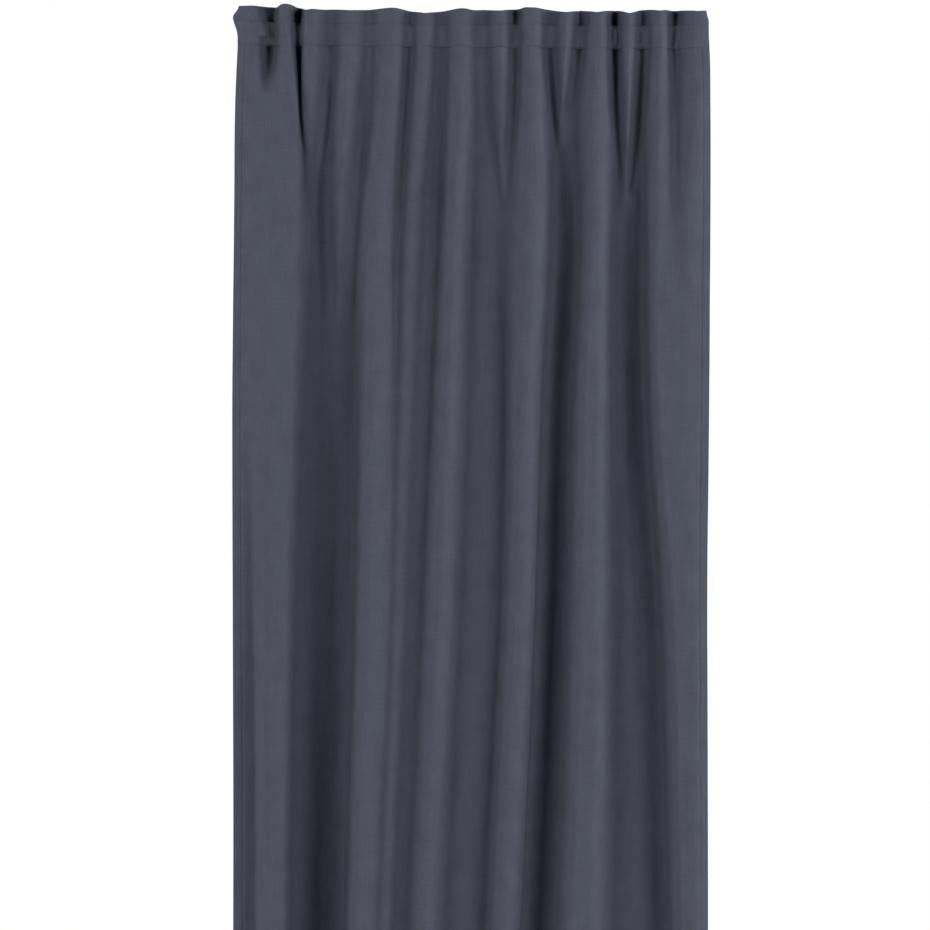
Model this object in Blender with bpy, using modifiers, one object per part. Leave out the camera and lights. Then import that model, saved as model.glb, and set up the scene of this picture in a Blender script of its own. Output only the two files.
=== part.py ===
"""Pocket-headed curtain, hanging gathered in uneven folds.

One length of cloth. Its top is turned over to the back and sewn through twice, which leaves a
frill and, under it, an open pocket for a rod. The rest falls to a turned-up hem.
Front faces -Y. The origin is at the middle of the top edge, on the rod's upright plane.
Sizes and tables are in millimetres, and the finished points in metres.
"""

import bmesh
import bpy
import numpy as np

METRES = 0.001

# The cloth
CLOTH_WIDTH = 1440.0
LENGTH = 2500.0
CLOTH_THICK = 1.5
HEM_THICK = 3.0
SIDE_HEM = 20.0
BOTTOM_HEM = 100.0
HEM_STEP = 2.5
SEAM_GAP = 0.3

# The heading
UPPER_SEAM = 29.0
LOWER_SEAM = 77.0
HEADING_DEPTH = 80.0
FRILL_THICK = 2.6
EDGE_ROUND = 1.0
EDGE_SLIM = 0.45
POCKET_HALF = 11.5
POCKET_SOFTNESS = 5.0
POCKET_SQUARENESS = 3.0
BACK_HALF = 13.5
BACK_SQUARENESS = 5.0
BACK_FULLNESS = 0.4
CORNER_FALLOFF = 12
FLARE_DEPTH = 23.0
FLARE_SPREAD = 13.0
LEFT_FLARE = 12.0
RIGHT_FLARE = 3.0

# How the cloth hangs
OUT_OF_LEVEL = 0.0085
FORWARD_AT_TOP = 22.0
FORWARD_AT_HEM = 2.0
FORWARD_EASE = 700.0
GATHER_HALF = 4.0
SHOWN = 0.5
BEND = 12.0

# Mesh fineness
COLUMNS = 96
FINE_STEPS = 1600
DEEPEST_SCALE = 6.0
SOLVE_ROUNDS = 40
PANEL_ROWS = (
    100, 125, 155, 190, 230, 275, 325, 380, 450, 540,
    650, 780, 940, 1120, 1320, 1540, 1780, 2030, 2260,
)
FRILL_ROWS = (19.0, 9.0, EDGE_ROUND, 0.0)
POCKET_ROWS = (-0.94, -0.62, 0.0, 0.62, 0.94)

# Folds that run the whole length, from left to right.
# kind: crest, trough, edge of the cloth, or a slope between a crest and a trough.
# half: half of the width over which a crest is flat.
# rise: how much the top edge stands up there.
# across, forward: where the fold lies at each depth of DEPTHS.
DEPTHS = (0, 80, 190, 400, 820, 1240, 1660, 2500)
LONG_FOLDS = (
    # name, kind, half, rise,
    # across, forward
    ("left edge", "edge", 0, 4,
     (-487, -491, -496, -499, -505, -506, -505, -507), (10, 10, 9, 10, 0, -20, -26, -28)),
    ("left hem", "slope", 0, 3,
     (-478, -478, -476, -472, -470, -458, -452, -454), (13, 13, 13, 16, 6, -16, -26, -28)),
    ("left box", "crest", 8, 3,
     (-468, -464, -454, -439, -428, -425, -425, -431), (17, 17, 18, 24, 28, 30, 30, 30)),
    ("left box rim", "crest", 8, 8,
     (-391, -387, -379, -379, -388, -402, -408, -414), (17, 17, 17, 22, 27, 27, 27, 27)),
    ("slot", "trough", 0, 8,
     (-363, -363, -362, -360, -364, -372, -376, -382), (-34, -38, -18, -6, -12, -14, -14, -14)),
    ("ledge", "slope", 0, -3,
     (-338, -340, -342, -338, -346, -352, -358, -362), (-5, -5, -3, -12, -32, -50, -58, -62)),
    ("trough 1", "trough", 0, 1,
     (-292, -292, -294, -318, -325, -328, -332, -336), (-8, -13, -17, -27, -44, -64, -82, -88)),
    ("middle of trough 1", "slope", 0, 0,
     (-284, -284, -284, -298, -302, -303, -306, -310), (-8, -13, -17, -27, -44, -66, -84, -90)),
    ("floor of trough 1", "trough", 0, 1,
     (-216, -216, -219, -229, -244, -254, -268, -286), (-10, -13, -14, -8, -35, -60, -78, -84)),
    ("fold 1", "crest", 8, 2,
     (-164, -166, -176, -196, -209, -218, -232, -265), (15, 15, 17, 20, 25, 27, 27, 27)),
    ("trough 2", "trough", 0, 0,
     (-129, -131, -136, -150, -162, -172, -192, -228), (-16, -18, -15, -9, 0, 2, 1, 1)),
    ("fold 2", "crest", 7, -9,
     (-95, -97, -107, -124, -142, -155, -172, -208), (12, 12, 12, 11, 9, 8, 8, 8)),
    ("floor of trough 3", "slope", 0, -2,
     (-72, -72, -75, -84, -102, -119, -139, -174), (-10, -12, -12, -10, -10, -14, -17, -21)),
    ("trough 3", "trough", 0, 0,
     (-59, -59, -57, -55, -75, -98, -118, -153), (-14, -16, -14, -9, -10, -15, -18, -22)),
    ("fold 3", "crest", 7, 2,
     (-18, -19, -24, -33, -50, -66, -86, -128), (16, 16, 18, 22, 25, 27, 27, 27)),
    ("foot of fold 3", "slope", 0, 1,
     (4, 4, 4, 0, -10, -26, -46, -88), (-2, -4, -7, -11, -13, -20, -25, -30)),
    ("trough 4", "trough", 0, 4,
     (29, 32, 36, 58, 80, 72, 51, 16), (-14, -16, -16, -15, -17, -21, -28, -34)),
    ("fold 4", "crest", 11, 5,
     (126, 129, 133, 129, 112, 101, 79, 34), (15, 15, 18, 24, 28, 28, 28, 28)),
    ("trough 5", "trough", 0, 6,
     (164, 166, 172, 190, 180, 169, 152, 109), (-18, -22, -24, -25, -35, -51, -67, -74)),
    ("floor of trough 5", "slope", 0, -1,
     (212, 212, 214, 222, 206, 196, 182, 144), (-6, -6, -8, -20, -29, -38, -46, -50)),
    ("fold 5", "crest", 5, -4,
     (262, 262, 260, 258, 240, 233, 222, 182), (15, 15, 16, 22, 27, 28, 28, 28)),
    ("right of fold 5", "crest", 5, -3,
     (272, 272, 270, 268, 266, 262, 258, 226), (15, 15, 16, 22, 27, 28, 28, 27)),
    ("slope of fold 6", "slope", 0, 2,
     (318, 318, 314, 300, 300, 305, 300, 284), (-6, -6, -8, -10, -18, -34, -38, -38)),
    ("trough 6", "trough", 0, 8,
     (361, 357, 350, 334, 338, 356, 392, 406), (-20, -24, -26, -22, -34, -44, -52, -54)),
    ("foot of right box", "trough", 0, 7,
     (368, 366, 362, 366, 372, 398, 412, 424), (-10, -12, -16, -18, -30, -42, -48, -50)),
    ("right box rim", "crest", 8, 0,
     (399, 399, 396, 392, 396, 427, 440, 450), (14, 14, 14, 20, 26, 28, 28, 28)),
    ("right box", "crest", 8, 0,
     (475, 475, 475, 460, 452, 464, 466, 468), (16, 16, 18, 24, 28, 30, 30, 30)),
    ("right edge", "edge", 0, 2,
     (494, 502, 504, 504, 502, 498, 500, 500), (10, 10, 10, 16, 20, 20, 16, 14)),
)

# Deep troughs widen behind their crests.
UNDERCUTS = (
    # trough, half width, sideways at each depth of DEPTHS
    ("slot", 22, (0, -3, -4, 0, 0, 0, 0, 0)),
    ("trough 1", 62, (0, 0, 0, 0, 5, 12, 16, 16)),
    ("trough 5", 34, (2, 3, 3, 3, 8, 10, 11, 11)),
    ("trough 6", 28, (0, 1, 1, 0, 0, 0, 2, 3)),
)

# Gathers that run out below the heading. A higher fading keeps more of the fold until near its end.
SHORT_FOLDS = (
    # name, rise, across at top, across at end, depth where it ends, forward at top, fading
    ("dent in left box", 8, -412, -440, 180, -40, 2.0),
    ("dent beside it", 8, -428, -434, 60, -26, 1.0),
    ("gather 1", -6, -345, -350, 300, 17, 2.2),
    ("gather 2", -1, -304, -311, 380, 0, 1.0),
    ("gather 3", -5, -256, -290, 700, 18, 2.4),
    ("gather 4", -3, 61, 66, 400, 16, 1.8),
    ("trough 8", 7, 95, 84, 600, -20, 1.4),
    ("gather 5", -5, 202, 180, 300, 15, 1.8),
    ("trough 9", 6, 234, 208, 330, -26, 1.8),
    ("trough 10", 8, 304, 313, 430, -30, 1.8),
    ("gather 6", -7, 332, 334, 430, 17, 2.0),
    ("trough 11", 8, 420, 441, 570, -26, 0.8),
)


def eased(share):
    """Runs from 0 to 1 and is level at both ends."""
    share = np.clip(share, 0.0, 1.0)
    return share * share * (3.0 - 2.0 * share)


def at_depth(values, depth):
    """Smooth line through one value for each depth of DEPTHS."""
    depths = np.array(DEPTHS, float)
    values = np.array(values, float)
    slopes = np.gradient(values, depths)
    i = int(np.clip(np.searchsorted(depths, depth) - 1, 0, len(depths) - 2))
    span = depths[i + 1] - depths[i]
    t = (depth - depths[i]) / span
    bend = slopes[i] * (1 - t) - slopes[i + 1] * t
    chord = (values[i + 1] - values[i]) / span
    bend -= chord * (1 - 2 * t)
    return values[i] + t * (values[i + 1] - values[i]) + t * (1 - t) * span * bend


def bent(heights, spacing):
    """Straight flanks with their corners rounded, as far as cloth of this stiffness bends."""
    reach = int(round(BEND / spacing))
    kernel = np.hanning(2 * reach + 1)
    padded = np.pad(heights, reach, mode="reflect", reflect_type="odd")
    return np.convolve(padded, kernel / kernel.sum(), mode="valid")


def long_fold_points(depth):
    """Place, height and kind of the long folds' points at this depth. A crest is flat, so it has two."""
    points = []
    for _, kind, half, _, across, forward in LONG_FOLDS:
        place = at_depth(across, depth)
        height = at_depth(forward, depth)
        points.append((place - half, height, kind))
        if half:
            points.append((place + half, height, kind))
    return points


def raw_forward(across, depth):
    """Forward place of the cloth across this height, before its fullness is matched."""
    points = long_fold_points(depth)
    places = [place for place, _, _ in points]
    heights = [height for _, height, _ in points]
    extra = [(place, 0.0) for place, _, kind in points if kind != "slope"]
    for _, _, top, end, end_depth, forward, fading in SHORT_FOLDS:
        run = min(depth / end_depth, 1.0)
        left = 1.0 - run**fading
        if left > 0.0:
            place = top + (end - top) * run
            height = left * (forward - np.interp(place, places, heights))
            half = left * GATHER_HALF if height > 0.0 else 0.0
            extra += [(place - half, height), (place + half, height)]
    extra.sort()
    extra_places, extra_heights = zip(*extra)
    straight = np.interp(across, places, heights) + np.interp(across, extra_places, extra_heights)
    return bent(straight, across[1] - across[0])


def undercut(across, depth):
    """Sideways push that spreads the flanks of the deep troughs."""
    push = np.zeros_like(across)
    for name, half, sideways in UNDERCUTS:
        trough = next(fold for fold in LONG_FOLDS if fold[0] == name)
        off = np.clip((across - at_depth(trough[4], depth)) / half, -1.0, 1.0)
        push += at_depth(sideways, depth) * np.sin(np.pi * off)
    return push


def section(depth):
    """Across and forward place of every column at this depth.

    The folds are deepened towards the depth at which they would use up the cloth's whole width. Where
    the rows of the table are shallow, SHOWN keeps them nearer to the table.
    """
    start = at_depth(LONG_FOLDS[0][4], depth)
    finish = at_depth(LONG_FOLDS[-1][4], depth)
    across = np.linspace(start, finish, FINE_STEPS)
    forward = raw_forward(across, depth)
    across = across + undercut(across, depth)
    step_across = np.diff(across)
    step_forward = np.diff(forward)
    low, high = 0.0, DEEPEST_SCALE
    for _ in range(SOLVE_ROUNDS):
        scale = (low + high) / 2
        if np.hypot(step_across, scale * step_forward).sum() > CLOTH_WIDTH:
            high = scale
        else:
            low = scale
    scale = 1.0 + SHOWN * (scale - 1.0)
    along = np.concatenate([[0.0], np.cumsum(np.hypot(step_across, scale * step_forward))])
    columns = column_places() / CLOTH_WIDTH * along[-1]
    hang = FORWARD_AT_HEM + (FORWARD_AT_TOP - FORWARD_AT_HEM) * (1 - eased(depth / FORWARD_EASE))
    return np.interp(columns, along, across), np.interp(columns, along, scale * forward) + hang


def column_places():
    """Distance of each column of the mesh from the cloth's left edge, with a step at each side hem."""
    inner = np.linspace(SIDE_HEM + HEM_STEP, CLOTH_WIDTH - SIDE_HEM - HEM_STEP, COLUMNS - 4)
    edge = np.array([0.0, SIDE_HEM])
    return np.concatenate([edge, inner, CLOTH_WIDTH - edge[::-1]])


def outward(across, forward):
    """Unit vectors square to a section in plan, pointing forward."""
    run_across = np.gradient(across)
    run_forward = np.gradient(forward)
    size = np.hypot(run_across, run_forward)
    return -run_forward / size, run_across / size


def rise_of_top(across):
    """How much the top edge stands up or dips along its length."""
    rises = [(fold[4][0], fold[3]) for fold in LONG_FOLDS] + [(fold[2], fold[1]) for fold in SHORT_FOLDS]
    places, heights = zip(*sorted(rises))
    even = np.linspace(across[0], across[-1], FINE_STEPS)
    return np.interp(across, even, bent(np.interp(even, places, heights), even[1] - even[0]))


def height_of(across, depth):
    """Upright place of the cloth. The curtain hangs a little out of level, and its top edge waves."""
    share = max(0.0, 1.0 - depth / HEADING_DEPTH)
    return -depth - OUT_OF_LEVEL * across + share * rise_of_top(across)


def flared(across, depth):
    """The frill's free ends stand out a little, the left one more."""
    bulge = np.exp(-(((depth - FLARE_DEPTH) / FLARE_SPREAD) ** 2))
    reach = (across[-1] - across[0]) / 2
    side = np.clip((across - across[0]) / reach - 1.0, -1.0, 1.0)
    push = np.where(side < 0.0, -LEFT_FLARE, RIGHT_FLARE)
    return across + bulge * push * np.abs(side) ** CORNER_FALLOFF


def layer(across, forward, depth, offset):
    """Points in metres of one face of the cloth, this far in front of its middle layer."""
    side, front = outward(across, forward)
    x = across + side * offset
    y = -(forward + front * offset)
    return np.stack([x, y, height_of(across, depth)], axis=1) * METRES


def swelling(depth_share, squareness):
    """How far a wall of the pocket has swollen between its seams, which lie at -1 and 1."""
    return (1.0 - abs(depth_share) ** squareness) ** (1.0 / squareness)


def pocket_walls(depth_share, forward):
    """Forward place of the pocket's front and back wall, held apart as if a rod filled it."""
    over = (forward - POCKET_HALF) / POCKET_SOFTNESS
    front = POCKET_HALF + POCKET_SOFTNESS * np.logaddexp(0.0, over)
    back = -BACK_HALF - BACK_FULLNESS * (forward.max() - forward)
    ahead = forward + swelling(depth_share, POCKET_SQUARENESS) * (front - forward)
    behind = forward + swelling(depth_share, BACK_SQUARENESS) * (back - forward)
    return ahead, behind


def mesh_object(name, points, faces, material, collection):
    mesh = bpy.data.meshes.new(name)
    mesh.from_pydata(points, [], faces)
    mesh.materials.append(material)
    body = bmesh.new()
    body.from_mesh(mesh)
    bmesh.ops.recalc_face_normals(body, faces=body.faces)
    body.to_mesh(mesh)
    body.free()
    made = bpy.data.objects.new(name, mesh)
    collection.objects.link(made)
    return made


def strip(first, second, count):
    """Faces between two neighbouring rows of points."""
    return [(first + i, first + i + 1, second + i + 1, second + i) for i in range(count - 1)]


def build_panel(material, collection):
    """The fall: an open sheet on its folds, thickened to both sides, more so at its hems."""
    hem_line = LENGTH - BOTTOM_HEM
    rows = [HEADING_DEPTH + SEAM_GAP, *PANEL_ROWS, hem_line - HEM_STEP, hem_line, LENGTH]
    points = []
    for depth in rows:
        across, forward = section(depth)
        points.extend(layer(across, forward, depth, 0.0).tolist())
    faces = []
    for i in range(len(rows) - 1):
        faces.extend(strip(i * COLUMNS, (i + 1) * COLUMNS, COLUMNS))
    panel = mesh_object("panel", points, faces, material, collection)
    places = column_places()
    in_hem = (places <= SIDE_HEM) | (places >= CLOTH_WIDTH - SIDE_HEM)
    hem = panel.vertex_groups.new(name="hem")
    for i, depth in enumerate(rows):
        for j in range(COLUMNS):
            if in_hem[j] or depth >= hem_line:
                hem.add([i * COLUMNS + j], 1.0, "REPLACE")
    shell = panel.modifiers.new("Cloth", "SOLIDIFY")
    shell.thickness = HEM_THICK * METRES
    shell.offset = 0.0
    shell.use_even_offset = True
    shell.vertex_group = "hem"
    shell.thickness_vertex_group = CLOTH_THICK / HEM_THICK
    return panel


def build_heading(material, collection):
    """The turned and sewn top: a frill of two layers, and a pocket whose walls part between two seams."""
    half = FRILL_THICK / 2
    wall = CLOTH_THICK / 2
    middle = (UPPER_SEAM + LOWER_SEAM) / 2
    reach = (LOWER_SEAM - UPPER_SEAM) / 2
    front, back, inner_front, inner_back = [], [], [], []

    def sewn_row(depth, offset):
        across, forward = section(depth)
        across = flared(across, depth)
        front.append(layer(across, forward, depth, offset))
        back.append(layer(across, forward, depth, -offset))
        return layer(across, forward, depth, 0.0)

    sewn_row(HEADING_DEPTH, half)
    lower_apex = sewn_row(LOWER_SEAM, half)
    for share in sorted(POCKET_ROWS, reverse=True):
        depth = middle + share * reach
        across, forward = section(depth)
        ahead, behind = pocket_walls(share, forward)
        front.append(layer(across, ahead, depth, wall))
        inner_front.append(layer(across, ahead, depth, -wall))
        inner_back.append(layer(across, behind, depth, wall))
        back.append(layer(across, behind, depth, -wall))
    upper_apex = sewn_row(UPPER_SEAM, half)
    for depth in FRILL_ROWS:
        sewn_row(depth, half if depth > 0.0 else half * EDGE_SLIM)

    outer = front + back[::-1]
    inner = [lower_apex, *inner_front, upper_apex, *inner_back[::-1]]
    points = np.concatenate(outer + inner).tolist()
    starts = [i * COLUMNS for i in range(len(outer) + len(inner))]
    outer_starts = starts[: len(outer)]
    inner_starts = starts[len(outer):]
    faces = []
    for ring in (outer_starts, inner_starts):
        for i, start in enumerate(ring):
            faces.extend(strip(start, ring[(i + 1) % len(ring)], COLUMNS))
    for column in (0, COLUMNS - 1):
        faces.extend(end_faces(outer_starts, inner_starts, column))
    return mesh_object("heading", points, faces, material, collection)


def end_faces(outer, inner, column):
    """Faces that close the cloth's cut edge at one end, around the open pocket."""
    front = [start + column for start in outer[: len(outer) // 2]]
    back = [start + column for start in outer[len(outer) // 2:]][::-1]
    count = len(POCKET_ROWS)
    lower = inner[0] + column
    upper = inner[count + 1] + column
    hole_front = [lower, *[start + column for start in inner[1 : count + 1]], upper]
    hole_back = [lower, *[start + column for start in inner[count + 2:]][::-1], upper]
    faces = [(front[0], front[1], lower, back[1], back[0])]
    for i in range(count + 1):
        faces.append((front[i + 1], front[i + 2], hole_front[i + 1], hole_front[i]))
        faces.append((back[i + 1], back[i + 2], hole_back[i + 1], hole_back[i]))
    top = count + 2
    faces.append((front[top], front[top + 1], back[top + 1], back[top], upper))
    for i in range(top + 1, len(front) - 1):
        faces.append((front[i], front[i + 1], back[i + 1], back[i]))
    return faces


def cloth_material(name, colour):
    made = bpy.data.materials.new(name)
    made.use_nodes = True
    shader = made.node_tree.nodes["Principled BSDF"]
    shader.inputs["Base Color"].default_value = (*colour, 1.0)
    shader.inputs["Roughness"].default_value = 0.9
    return made


def main():
    for old in list(bpy.data.objects):
        bpy.data.objects.remove(old)
    curtain = bpy.data.collections.new("curtain")
    bpy.context.scene.collection.children.link(curtain)
    build_heading(cloth_material("heading cloth", (0.085, 0.093, 0.118)), curtain)
    build_panel(cloth_material("panel cloth", (0.08, 0.088, 0.112)), curtain)


main()
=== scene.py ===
# %% [markdown]
# # A gathered curtain with a rod pocket
#
# The curtain is one length of matt, linen-look cloth. Its two long edges are hemmed first. Then the
# top is turned over to the back and sewn through twice, which leaves a small frill and, under it, an
# open pocket. A rod in that pocket gathers the cloth, and the rest falls in long, uneven folds.
#
# The order here follows the making. First come the folds, as a table read from left to right. Then the
# cloth is laid over them, the heading and the hems are turned, and the thread is sewn in. Last come
# the cloth's material, the light and the camera.

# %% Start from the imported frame
import math

import bmesh
import bpy
import numpy as np
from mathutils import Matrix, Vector


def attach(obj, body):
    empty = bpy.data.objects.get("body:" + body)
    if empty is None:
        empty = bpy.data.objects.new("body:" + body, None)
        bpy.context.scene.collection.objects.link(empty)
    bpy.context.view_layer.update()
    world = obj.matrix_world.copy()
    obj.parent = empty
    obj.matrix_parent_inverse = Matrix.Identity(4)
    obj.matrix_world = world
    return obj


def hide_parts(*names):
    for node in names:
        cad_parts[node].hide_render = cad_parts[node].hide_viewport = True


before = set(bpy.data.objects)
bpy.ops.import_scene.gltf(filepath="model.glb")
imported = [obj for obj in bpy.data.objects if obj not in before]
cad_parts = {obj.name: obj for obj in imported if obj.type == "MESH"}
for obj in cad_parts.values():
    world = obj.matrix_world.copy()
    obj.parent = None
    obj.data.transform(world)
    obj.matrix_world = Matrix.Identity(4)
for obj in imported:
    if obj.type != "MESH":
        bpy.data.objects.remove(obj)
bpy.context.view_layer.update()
print("nodes:", sorted(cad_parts))

# %% [markdown]
# ## Sizes
#
# All sizes are in millimetres until a mesh is made. The cloth is 1.44 m across when flat and hangs
# about 1 m wide, so it is gathered to about 0.7 of its width. The hems are those of a ready-made
# curtain: 20 mm at the sides, 100 mm at the bottom, and two rows through the heading at 29 and 77 mm.

# %% Sizes
METRES = 0.001
CLOTH_WIDTH = 1440.0
LENGTH = 2500.0
LAYER = 1.3  # from the middle of one layer to the middle of the next, where they lie together
SIDE_HEM = 20.0
BOTTOM_HEM = 100.0
UPPER_SEAM = 29.0
LOWER_SEAM = 77.0
HEADING_DEPTH = 80.0
FRILL_HALF = 1.1
POCKET_HALF = 11.5
POCKET_SOFTNESS = 5.0
POCKET_SQUARENESS = 3.0
BACK_HALF = 13.5
BACK_FULLNESS = 0.4
BACK_SQUARENESS = 5.0

# How it hangs
OUT_OF_LEVEL = 0.0085
FORWARD_AT_TOP = 22.0
FORWARD_AT_HEM = 2.0
FORWARD_EASE = 700.0
GATHER_HALF = 4.0
BEND = 12.0
SHOWN = 0.5

# How fine the cloth's mesh is
COLUMNS = 480
FINE_STEPS = 3000
DEEPEST_SCALE = 6.0
SOLVE_ROUNDS = 40

# %% [markdown]
# ## The folds
#
# A gathered curtain has two kinds of folds. The long ones run from the heading to the hem. They drift
# sideways, widen and get deeper on their way down. The short ones are gathers that start in the
# heading and run out within the first half metre. Each row of the tables is one fold, and its places
# are given at the depths of DEPTHS. Straight lines join the crests and troughs at each height, and
# their corners are rounded as far as this cloth bends.

# %% Table of the folds
DEPTHS = (0, 80, 190, 400, 820, 1240, 1660, 2500)
LONG_FOLDS = (
    # name, kind, half width of a flat crest, rise of the top edge,
    # across, forward
    ("left edge", "edge", 0, 4,
     (-487, -491, -496, -499, -505, -506, -505, -507), (10, 10, 9, 10, 0, -20, -26, -28)),
    ("left hem", "slope", 0, 3,
     (-478, -478, -476, -472, -470, -458, -452, -454), (13, 13, 13, 16, 6, -16, -26, -28)),
    ("left box", "crest", 8, 3,
     (-468, -464, -454, -439, -428, -425, -425, -431), (17, 17, 18, 24, 28, 30, 30, 30)),
    ("left box rim", "crest", 8, 8,
     (-391, -387, -379, -379, -388, -402, -408, -414), (17, 17, 17, 22, 27, 27, 27, 27)),
    ("slot", "trough", 0, 8,
     (-363, -363, -362, -360, -364, -372, -376, -382), (-34, -38, -18, -6, -12, -14, -14, -14)),
    ("ledge", "slope", 0, -3,
     (-338, -340, -342, -338, -346, -352, -358, -362), (-5, -5, -3, -12, -32, -50, -58, -62)),
    ("trough 1", "trough", 0, 1,
     (-292, -292, -294, -318, -325, -328, -332, -336), (-8, -13, -17, -27, -44, -64, -82, -88)),
    ("middle of trough 1", "slope", 0, 0,
     (-284, -284, -284, -298, -302, -303, -306, -310), (-8, -13, -17, -27, -44, -66, -84, -90)),
    ("floor of trough 1", "trough", 0, 1,
     (-216, -216, -219, -229, -244, -254, -268, -286), (-10, -13, -14, -8, -35, -60, -78, -84)),
    ("fold 1", "crest", 8, 2,
     (-164, -166, -176, -196, -209, -218, -232, -265), (15, 15, 17, 20, 25, 27, 27, 27)),
    ("trough 2", "trough", 0, 0,
     (-129, -131, -136, -150, -162, -172, -192, -228), (-16, -18, -15, -9, 0, 2, 1, 1)),
    ("fold 2", "crest", 7, -9,
     (-95, -97, -107, -124, -142, -155, -172, -208), (12, 12, 12, 11, 9, 8, 8, 8)),
    ("floor of trough 3", "slope", 0, -2,
     (-72, -72, -75, -84, -102, -119, -139, -174), (-10, -12, -12, -10, -10, -14, -17, -21)),
    ("trough 3", "trough", 0, 0,
     (-59, -59, -57, -55, -75, -98, -118, -153), (-14, -16, -14, -9, -10, -15, -18, -22)),
    ("fold 3", "crest", 7, 2,
     (-18, -19, -24, -33, -50, -66, -86, -128), (16, 16, 18, 22, 25, 27, 27, 27)),
    ("foot of fold 3", "slope", 0, 1,
     (4, 4, 4, 0, -10, -26, -46, -88), (-2, -4, -7, -11, -13, -20, -25, -30)),
    ("trough 4", "trough", 0, 4,
     (29, 32, 36, 58, 80, 72, 51, 16), (-14, -16, -16, -15, -17, -21, -28, -34)),
    ("fold 4", "crest", 11, 5,
     (126, 129, 133, 129, 112, 101, 79, 34), (15, 15, 18, 24, 28, 28, 28, 28)),
    ("trough 5", "trough", 0, 6,
     (164, 166, 172, 190, 180, 169, 152, 109), (-18, -22, -24, -25, -35, -51, -67, -74)),
    ("floor of trough 5", "slope", 0, -1,
     (212, 212, 214, 222, 206, 196, 182, 144), (-6, -6, -8, -20, -29, -38, -46, -50)),
    ("fold 5", "crest", 5, -4,
     (262, 262, 260, 258, 240, 233, 222, 182), (15, 15, 16, 22, 27, 28, 28, 28)),
    ("right of fold 5", "crest", 5, -3,
     (272, 272, 270, 268, 266, 262, 258, 226), (15, 15, 16, 22, 27, 28, 28, 27)),
    ("slope of fold 6", "slope", 0, 2,
     (318, 318, 314, 300, 300, 305, 300, 284), (-6, -6, -8, -10, -18, -34, -38, -38)),
    ("trough 6", "trough", 0, 8,
     (361, 357, 350, 334, 338, 356, 392, 406), (-20, -24, -26, -22, -34, -44, -52, -54)),
    ("foot of right box", "trough", 0, 7,
     (368, 366, 362, 366, 372, 398, 412, 424), (-10, -12, -16, -18, -30, -42, -48, -50)),
    ("right box rim", "crest", 8, 0,
     (399, 399, 396, 392, 396, 427, 440, 450), (14, 14, 14, 20, 26, 28, 28, 28)),
    ("right box", "crest", 8, 0,
     (475, 475, 475, 460, 452, 464, 466, 468), (16, 16, 18, 24, 28, 30, 30, 30)),
    ("right edge", "edge", 0, 2,
     (494, 502, 504, 504, 502, 498, 500, 500), (10, 10, 10, 16, 20, 20, 16, 14)),
)
UNDERCUTS = (
    # trough, half width, sideways at each depth of DEPTHS
    ("slot", 22, (0, -3, -4, 0, 0, 0, 0, 0)),
    ("trough 1", 62, (0, 0, 0, 0, 5, 12, 16, 16)),
    ("trough 5", 34, (2, 3, 3, 3, 8, 10, 11, 11)),
    ("trough 6", 28, (0, 1, 1, 0, 0, 0, 2, 3)),
)
SHORT_FOLDS = (
    # name, rise, across at top, across at end, depth where it ends, forward at top, fading
    ("dent in left box", 8, -412, -440, 180, -40, 2.0),
    ("dent beside it", 8, -428, -434, 60, -26, 1.0),
    ("gather 1", -6, -345, -350, 300, 17, 2.2),
    ("gather 2", -1, -304, -311, 380, 0, 1.0),
    ("gather 3", -5, -256, -290, 700, 18, 2.4),
    ("gather 4", -3, 61, 66, 400, 16, 1.8),
    ("trough 8", 7, 95, 84, 600, -20, 1.4),
    ("gather 5", -5, 202, 180, 300, 15, 1.8),
    ("trough 9", 6, 234, 208, 330, -26, 1.8),
    ("trough 10", 8, 304, 313, 430, -30, 1.8),
    ("gather 6", -7, 332, 334, 430, 17, 2.0),
    ("trough 11", 8, 420, 441, 570, -26, 0.8),
)
print(len(LONG_FOLDS), "long folds,", len(SHORT_FOLDS), "short ones")

# %% [markdown]
# ## From the table to the shape at one height
#
# The folds have to use up the whole width of the cloth at every height. So the depth is found at which
# the line along a section is as long as the cloth is wide, and the section is scaled towards it. It
# goes half of the way only, because the rest of the cloth hides behind the folds that show. The columns
# of the mesh then lie at the same places of the cloth at every height, as its threads do.

# %% Section of the hanging cloth at one depth


def eased(share):
    """Runs from 0 to 1 and is level at both ends."""
    share = np.clip(share, 0.0, 1.0)
    return share * share * (3.0 - 2.0 * share)


def at_depth(values, depth):
    """Smooth line through one value for each depth of DEPTHS."""
    depths = np.array(DEPTHS, float)
    values = np.array(values, float)
    slopes = np.gradient(values, depths)
    i = int(np.clip(np.searchsorted(depths, depth) - 1, 0, len(depths) - 2))
    span = depths[i + 1] - depths[i]
    t = (depth - depths[i]) / span
    bend = slopes[i] * (1 - t) - slopes[i + 1] * t
    chord = (values[i + 1] - values[i]) / span
    bend -= chord * (1 - 2 * t)
    return values[i] + t * (values[i + 1] - values[i]) + t * (1 - t) * span * bend


def bent(heights, spacing):
    """Straight flanks with their corners rounded, as far as cloth of this stiffness bends."""
    reach = int(round(BEND / spacing))
    kernel = np.hanning(2 * reach + 1)
    padded = np.pad(heights, reach, mode="reflect", reflect_type="odd")
    return np.convolve(padded, kernel / kernel.sum(), mode="valid")


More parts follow.
